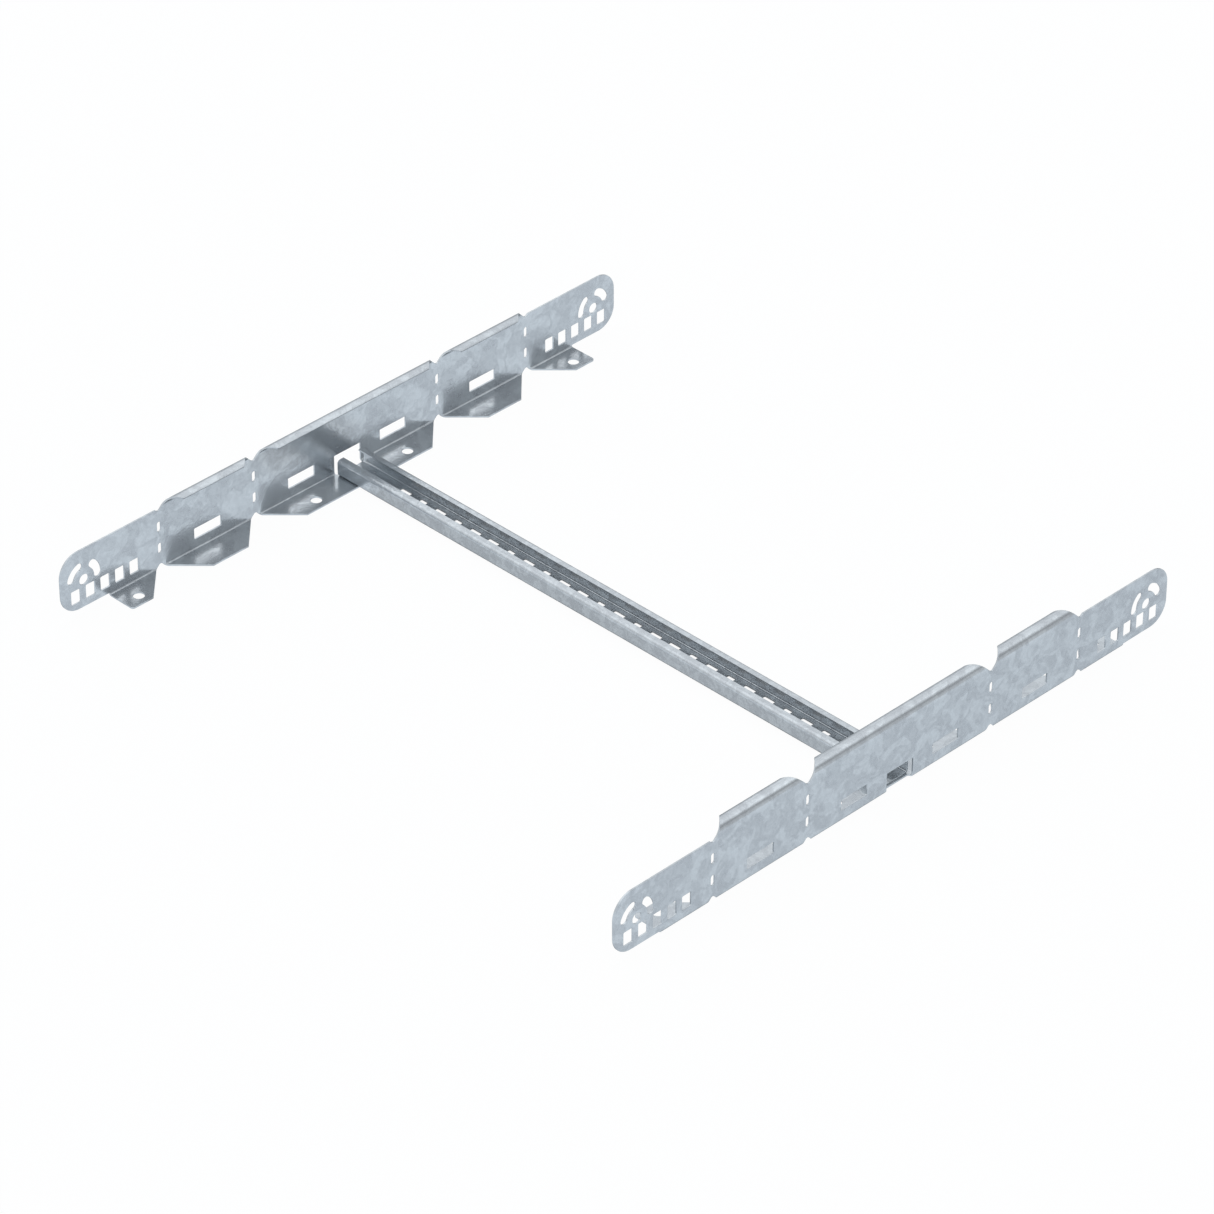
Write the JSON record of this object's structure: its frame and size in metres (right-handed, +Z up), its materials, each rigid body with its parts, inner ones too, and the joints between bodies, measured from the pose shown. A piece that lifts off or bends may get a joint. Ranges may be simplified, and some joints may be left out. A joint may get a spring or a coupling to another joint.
{
  "type": "cable ladder bend connector",
  "caption": "Bendable cable ladder connector: two folded galvanised side rails, notched and slotted at their bend lines, joined by a slotted channel rung.",
  "frame": {"origin": "middle of the connector, on the plane it stands on, which is the underside of the side rails' flanges", "axes": "+X across the ladder along the rung towards the right-hand rail, +Y along the side rails, +Z up, towards the curled lips"},
  "size_m": [0.604, 0.604, 0.064],
  "materials": {
    "galvanised_steel": "hot-dip galvanised sheet, light bluish grey, soft cloudy spangle, satin"
  },
  "bodies": {
    "root": {"side_rail_left": "galvanised_steel", "side_rail_right": "galvanised_steel", "cross_rung": "galvanised_steel"}
  },
  "joints": []
}
